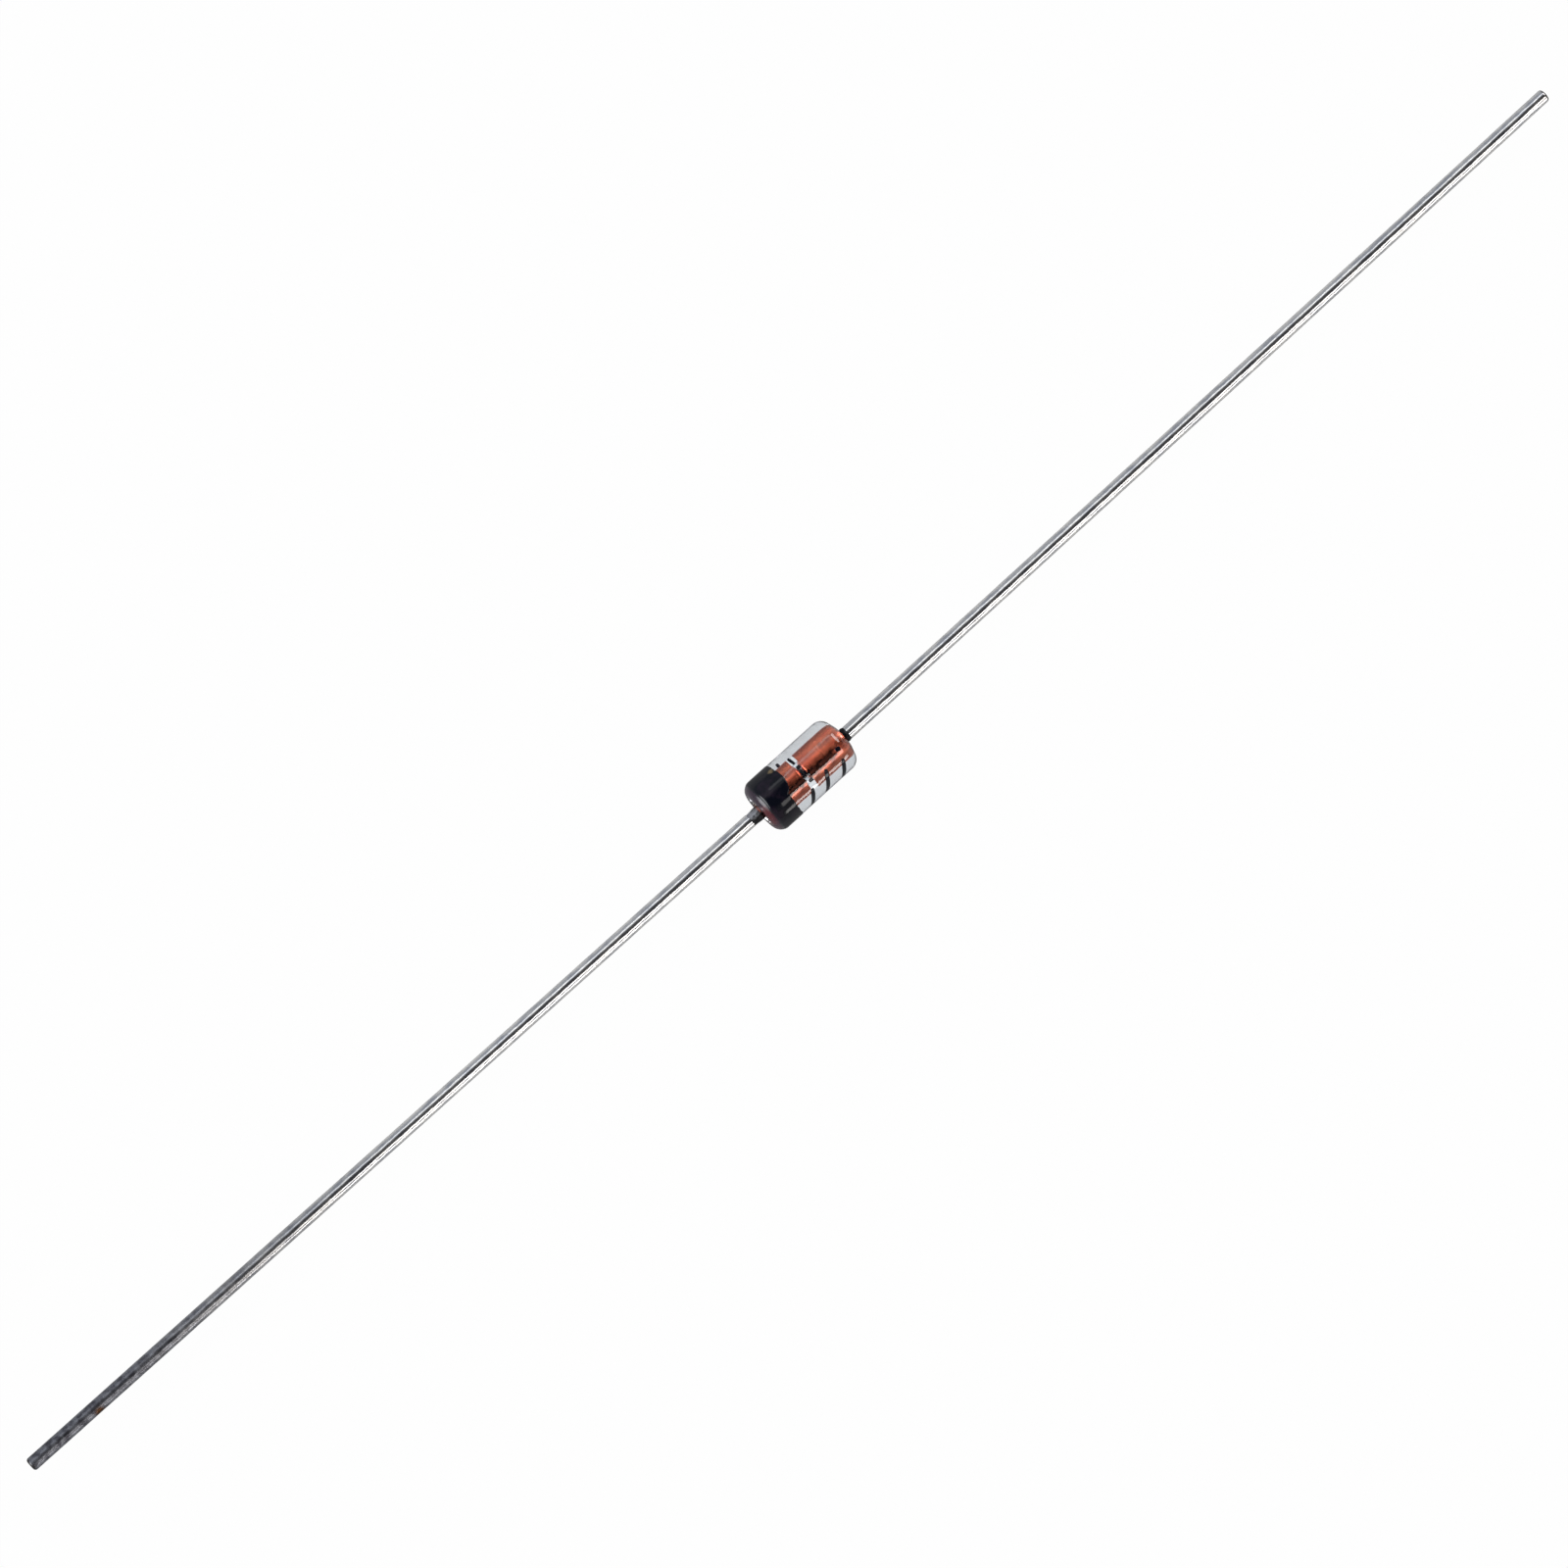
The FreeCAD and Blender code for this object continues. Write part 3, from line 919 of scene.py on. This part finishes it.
def ink_band(name, edges, height, finish):
    """A closed band of ink round the glass. edges(angle, spot) gives where it starts and ends."""
    vertices = []
    for k in range(INK_AROUND):
        angle = 2 * math.pi * k / INK_AROUND
        spot = Vector((0.0, 6.0 * math.cos(angle), 6.0 * math.sin(angle)))
        start, end = edges(angle, spot)
        for side in ("over", "under"):
            for i in range(INK_ACROSS + 1):
                share = i / INK_ACROSS if side == "over" else 1 - i / INK_ACROSS
                edge_fade = min(1.0, min(share, 1 - share) * INK_ACROSS / INK_BEVEL)
                raised = height * edge_fade if side == "over" else -INK_UNDER
                vertices.append(at_roll(*on_glass(start + (end - start) * share, raised), angle))
    loop = 2 * (INK_ACROSS + 1)
    return new_piece(name, vertices, grid_faces(INK_AROUND, loop, True), finish)


def ring_edges(angle, spot):
    """The ring's own width at a roll angle, with both edges a little ragged."""
    start = RING_START + RING_RAGGED * noise.noise(spot)
    end = ring_edge(angle) + RING_RAGGED * noise.noise(spot * 2.0)
    return start, end


def film_edges(angle, spot):
    """The film's width: a ragged edge on the end face, and the other one under the ring."""
    start = FILM_START + FILM_RAGGED * noise.noise(spot * 0.6)
    return start, RING_START + 2 * RING_RAGGED


ring = ink_band("cathode_ring", ring_edges, INK_HEIGHT, ink_finish)
film = ink_band("shoulder_film", film_edges, INK_HEIGHT * 0.5, film_finish)

# %% [markdown]
# ## Ink marks, by Geometry Nodes
#
# The glass carries plain strokes of ink, which say nothing, and a row of dark dots over the gap
# between the studs. They repeat one shape on a curved surface, which is work for Geometry Nodes: a
# disc is squared off a little, placed at each point with its own length, width and turn, and then
# the flat layout is wrapped round the glass.

# %% Helpers for Geometry Nodes


def start_tree(name, numbers):
    """A Geometry Nodes tree with a geometry in and out, named numbers and a material."""
    group = bpy.data.node_groups.new(name, "GeometryNodeTree")
    socket_for = group.interface.new_socket
    socket_for("Geometry", in_out="INPUT", socket_type="NodeSocketGeometry")
    for label, value in numbers:
        socket_for(label, in_out="INPUT", socket_type="NodeSocketFloat").default_value = value
    socket_for("Material", in_out="INPUT", socket_type="NodeSocketMaterial")
    socket_for("Geometry", in_out="OUTPUT", socket_type="NodeSocketGeometry")
    return group, group.nodes.new("NodeGroupInput").outputs


def end_tree(group, given, geometry):
    """Ends a tree in plain geometry with its material, because the export drops instances."""
    real = add_node(group, "GeometryNodeRealizeInstances", {"Geometry": geometry})
    finish = {"Geometry": real.outputs[0], "Material": given["Material"]}
    painted = add_node(group, "GeometryNodeSetMaterial", finish)
    add_node(group, "NodeGroupOutput", {"Geometry": painted.outputs[0]})


def vector(group, **axes):
    """A vector from its separate axes."""
    return add_node(group, "ShaderNodeCombineXYZ", axes).outputs[0]


def vector_node(group, operation, inputs):
    """A Vector Math node's result."""
    return add_node(group, "ShaderNodeVectorMath", inputs, operation=operation).outputs[0]


def moved(group, geometry, **how):
    """The same geometry after its points went to a Position or by an Offset."""
    return add_node(group, "GeometryNodeSetPosition", {"Geometry": geometry, **how}).outputs[0]


def stored(group, name, kind):
    """A value kept on the points."""
    read = add_node(group, "GeometryNodeInputNamedAttribute", {"Name": name}, data_type=kind)
    return read.outputs["Attribute"]


print("tree helpers ready")

# %% Square off a disc
MARK_TREE_INPUTS = [
    ("Glass Radius", GLASS_RADIUS),
    ("Ink Height", INK_HEIGHT * 0.8),
    ("Ragged", 0.03 * MM),
]

mark_tree, given = start_tree("ink_marks", MARK_TREE_INPUTS)
calc = functools.partial(math_node, mark_tree)
flat_disc = {"Vertices": 28, "Fill Segments": 5, "Radius": 0.5, "Depth": 1.0}
disc = add_node(mark_tree, "GeometryNodeMeshCylinder", flat_disc)
place = add_node(mark_tree, "GeometryNodeInputPosition").outputs[0]
flat = axes_of(mark_tree, place)
x4 = calc("POWER", calc("ABSOLUTE", flat["X"]), 4.0)
y4 = calc("POWER", calc("ABSOLUTE", flat["Y"]), 4.0)
fourth = calc("POWER", calc("ADD", x4, y4), 0.25)
x2 = calc("MULTIPLY", flat["X"], flat["X"])
y2 = calc("MULTIPLY", flat["Y"], flat["Y"])
plain = calc("SQRT", calc("ADD", x2, y2))
square_off = calc("DIVIDE", plain, calc("MAXIMUM", fourth, 0.001))
squared = vector(
    mark_tree,
    X=calc("MULTIPLY", flat["X"], square_off),
    Y=calc("MULTIPLY", flat["Y"], square_off),
    Z=calc("MULTIPLY", flat["Z"], given["Ink Height"]),
)
bar = moved(mark_tree, disc.outputs["Mesh"], Position=squared)
print(len(mark_tree.nodes), "nodes for one mark")

# %% Place the marks and wrap them round the glass
rows = add_node(mark_tree, "GeometryNodeInstanceOnPoints", {
    "Points": given["Geometry"],
    "Instance": bar,
    "Rotation": vector(mark_tree, Z=stored(mark_tree, "turn", "FLOAT")),
    "Scale": stored(mark_tree, "stretch", "FLOAT_VECTOR"),
})
laid = add_node(mark_tree, "GeometryNodeRealizeInstances", {"Geometry": rows.outputs[0]})
wobble_settings = {"Vector": place, "Scale": 9.0 / MM, "Detail": 2.0}
wobble = add_node(mark_tree, "ShaderNodeTexNoise", wobble_settings)
centred = vector_node(mark_tree, "SUBTRACT", {0: wobble.outputs["Color"], 1: (0.5, 0.5, 0.5)})
push = vector_node(mark_tree, "SCALE", {0: centred, "Scale": given["Ragged"]})
level = vector_node(mark_tree, "MULTIPLY", {0: push, 1: (1.0, 1.0, 0.0)})
ragged = moved(mark_tree, laid.outputs[0], Offset=level)
layout = axes_of(mark_tree, place)
angle = calc("DIVIDE", layout["Y"], given["Glass Radius"])
distance = calc("ADD", given["Glass Radius"], layout["Z"])
to_front = calc("MULTIPLY", calc("SINE", angle), calc("MULTIPLY", distance, -1.0))
to_top = calc("MULTIPLY", calc("COSINE", angle), distance)
on_tube = vector(mark_tree, X=layout["X"], Y=to_front, Z=to_top)
end_tree(mark_tree, given, moved(mark_tree, ragged, Position=on_tube))
print(len(mark_tree.nodes), "nodes in the mark tree")

# %% Run a tree and keep its result as a plain mesh


def run_tree(name, group, mesh, finish, numbers=None):
    """Runs a tree on a mesh and returns the result as a plain object."""
    carrier = bpy.data.objects.new(name + "_carrier", mesh)
    bpy.context.scene.collection.objects.link(carrier)
    modifier = carrier.modifiers.new("nodes", "NODES")
    modifier.node_group = group
    given_sockets = [item for item in group.interface.items_tree if item.in_out == "INPUT"]
    sockets = {item.name: item.identifier for item in given_sockets}
    modifier[sockets["Material"]] = finish
    for label, value in (numbers or {}).items():
        modifier[sockets[label]] = value
    bpy.context.view_layer.update()
    graph = bpy.context.evaluated_depsgraph_get()
    result = bpy.data.meshes.new_from_object(carrier.evaluated_get(graph), depsgraph=graph)
    carrier.modifiers.remove(modifier)
    bpy.data.objects.remove(carrier)
    result.name = name
    result.polygons.foreach_set("use_smooth", [True] * len(result.polygons))
    piece = bpy.data.objects.new(name, result)
    bpy.context.scene.collection.objects.link(piece)
    print(name, len(result.polygons), "faces")
    return piece


# %% Make the ink marks
# Each mark: x in mm, roll angle in degrees, length and width in mm, turn in degrees.
INK_MARKS = [
    (0.38, 60.0, 1.04, 0.15, 111.0),
    (1.04, 64.0, 0.90, 0.15, 111.0),
    (-0.29, 66.0, 0.84, 0.15, 111.0),
    # The next four are dark dots in a row over the gap between the studs.
    (-0.07, -27.0, 0.34, 0.10, 84.0),
    (-0.03, -8.0, 0.16, 0.12, 0.0),
    (0.00, 9.0, 0.12, 0.09, 90.0),
    (0.00, 27.0, 0.16, 0.12, 0.0),
    (-0.455, -42.0, 0.20, 0.11, 90.0),
    (1.28, 17.0, 0.17, 0.15, 20.0),
]
mark_places = []
mark_turns = []
mark_stretches = []
for x, roll_degrees, length, width, turn in INK_MARKS:
    mark_places.append((x * MM, math.radians(roll_degrees) * GLASS_RADIUS, 0.0))
    mark_turns.append(math.radians(turn))
    mark_stretches += [length * MM, width * MM, 1.0]
points = bpy.data.meshes.new("mark_places")
points.from_pydata(mark_places, [], [])
points.attributes.new("turn", "FLOAT", "POINT").data.foreach_set("value", mark_turns)
stretches = points.attributes.new("stretch", "FLOAT_VECTOR", "POINT")
stretches.data.foreach_set("vector", mark_stretches)
marks = run_tree("ink_strokes", mark_tree, points, ink_finish)

# %% [markdown]
# ## The leads, by Geometry Nodes
#
# A lead is a circle drawn along a line, which is exactly what Curve to Mesh does. The points crowd
# together towards the tip, so that the sheared edge can be rounded. The line is bowed a little, as
# hand-straightened wire is, and noise dents the tin coat.

# %% Draw a bowed line
LEAD_TREE_INPUTS = [
    ("Start", 2.0 * MM),
    ("Tip", 32.5 * MM),
    ("Radius", WIRE_RADIUS),
    ("Tip Edge", 0.10 * MM),
    ("Bow", 0.16 * MM),
    ("Dent Depth", 0.008 * MM),
    ("Seed", 1.0),
]

lead_tree, given = start_tree("drawn_lead", LEAD_TREE_INPUTS)
calc = functools.partial(math_node, lead_tree)
two_ends = {"Start": vector(lead_tree, X=given["Start"]), "End": vector(lead_tree, X=given["Tip"])}
line = add_node(lead_tree, "GeometryNodeCurvePrimitiveLine", two_ends)
in_steps = {"Curve": line.outputs[0], "Count": 900}
fine = add_node(lead_tree, "GeometryNodeResampleCurve", in_steps)
share = add_node(lead_tree, "GeometryNodeSplineParameter").outputs["Factor"]
to_tip = calc("POWER", calc("SUBTRACT", 1.0, share), 1.5)
length = calc("SUBTRACT", given["Start"], given["Tip"])
crowded_x = calc("MULTIPLY_ADD", to_tip, length, given["Tip"])
part_way = calc("DIVIDE", crowded_x, given["Tip"])
bow = calc("MULTIPLY", calc("POWER", part_way, 1.3), given["Bow"])
bowed_place = vector(lead_tree, X=crowded_x, Y=bow)
bowed = moved(lead_tree, fine.outputs[0], Position=bowed_place)
print(len(lead_tree.nodes), "nodes for the line")

# %% Round its tip, draw it and dent it
place = add_node(lead_tree, "GeometryNodeInputPosition").outputs[0]
now_x = axes_of(lead_tree, place)["X"]
from_tip = calc("ABSOLUTE", calc("SUBTRACT", now_x, given["Tip"]))
edge_left = calc("MAXIMUM", calc("SUBTRACT", given["Tip Edge"], from_tip), 0.0)
edge2 = calc("MULTIPLY", given["Tip Edge"], given["Tip Edge"])
left2 = calc("MULTIPLY", edge_left, edge_left)
drop = calc("SQRT", calc("MAXIMUM", calc("SUBTRACT", edge2, left2), 0.0))
lost = calc("SUBTRACT", given["Tip Edge"], drop)
swing = calc("SUBTRACT", given["Radius"], lost)
round_wire = {"Resolution": 40, "Radius": given["Radius"]}
circle = add_node(lead_tree, "GeometryNodeCurvePrimitiveCircle", round_wire)
drawn_wire = add_node(lead_tree, "GeometryNodeCurveToMesh", {
    "Curve": bowed,
    "Profile Curve": circle.outputs["Curve"],
    "Scale": calc("DIVIDE", swing, given["Radius"]),
    "Fill Caps": True,
})
seed_shift = vector(lead_tree, Y=given["Seed"])
shifted = vector_node(lead_tree, "ADD", {0: place, 1: seed_shift})
dent_settings = {"Vector": shifted, "Scale": 2.2 / MM, "Detail": 2.0}
dents = add_node(lead_tree, "ShaderNodeTexNoise", dent_settings)
depth = calc("MULTIPLY", dents.outputs["Fac"], given["Dent Depth"])
outward = add_node(lead_tree, "GeometryNodeInputNormal").outputs[0]
inward = vector_node(lead_tree, "SCALE", {0: outward, "Scale": calc("MULTIPLY", depth, -1.0)})
end_tree(lead_tree, given, moved(lead_tree, drawn_wire.outputs[0], Offset=inward))
print(len(lead_tree.nodes), "nodes in the lead tree")

# %% Draw the two leads
cathode_tip, cathode_weld_end = span("cathode_lead")
anode_weld_end, anode_tip = span("anode_lead")
cathode_ends = {"Start": cathode_weld_end, "Tip": cathode_tip, "Seed": 0.02}
anode_ends = {"Start": anode_weld_end, "Tip": anode_tip, "Seed": 0.05}
no_points = bpy.data.meshes.new("no_points")
cathode_lead = run_tree("cathode_wire", lead_tree, no_points, wire_finish, cathode_ends)
anode_lead = run_tree("anode_wire", lead_tree, no_points.copy(), wire_finish, anode_ends)

# %% [markdown]
# ## Hand the pieces to the frame
#
# Each piece now rides on the one body, and the CAD node that it stands for is hidden.

# %% Ride and replace
DRESSED = [
    (glass, "glass", ["glass_sleeve"]),
    (ring, "band_ink", ["cathode_band"]),
    (film, "band_ink", []),
    (marks, "band_ink", []),
    (cathode_stud, "stud_copper", ["cathode_stud"]),
    (anode_stud, "stud_copper", ["anode_stud"]),
    (die, "silicon", ["zener_die"]),
    (backing, "silver", ["silver_backing"]),
    (bump, "silver", ["silver_bump"]),
    (cathode_weld, "weld", ["cathode_weld"]),
    (anode_weld, "weld", ["anode_weld"]),
    (cathode_lead, "tinned_wire", ["cathode_lead"]),
    (anode_lead, "tinned_wire", ["anode_lead"]),
]
for piece, slot_name, nodes in DRESSED:
    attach(piece, "root")
    if nodes:
        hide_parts(*nodes)
print(len(DRESSED), "pieces ride on the body")

# %% [markdown]
# ## Print the two boxes
#
# Both boxes are printed as sizes in millimetres, the CAD one first and then the dressed one.
# The dressed part must not be larger than the CAD one.

# %% Print the two boxes and finish
dressed_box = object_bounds()
boxes = {
    "cad": [list(corner) for corner in cad_box],
    "visual": [list(corner) for corner in dressed_box],
}
for label, (low, high) in boxes.items():
    print(label, [round((top - bottom) / MM, 4) for bottom, top in zip(low, high)], "mm")
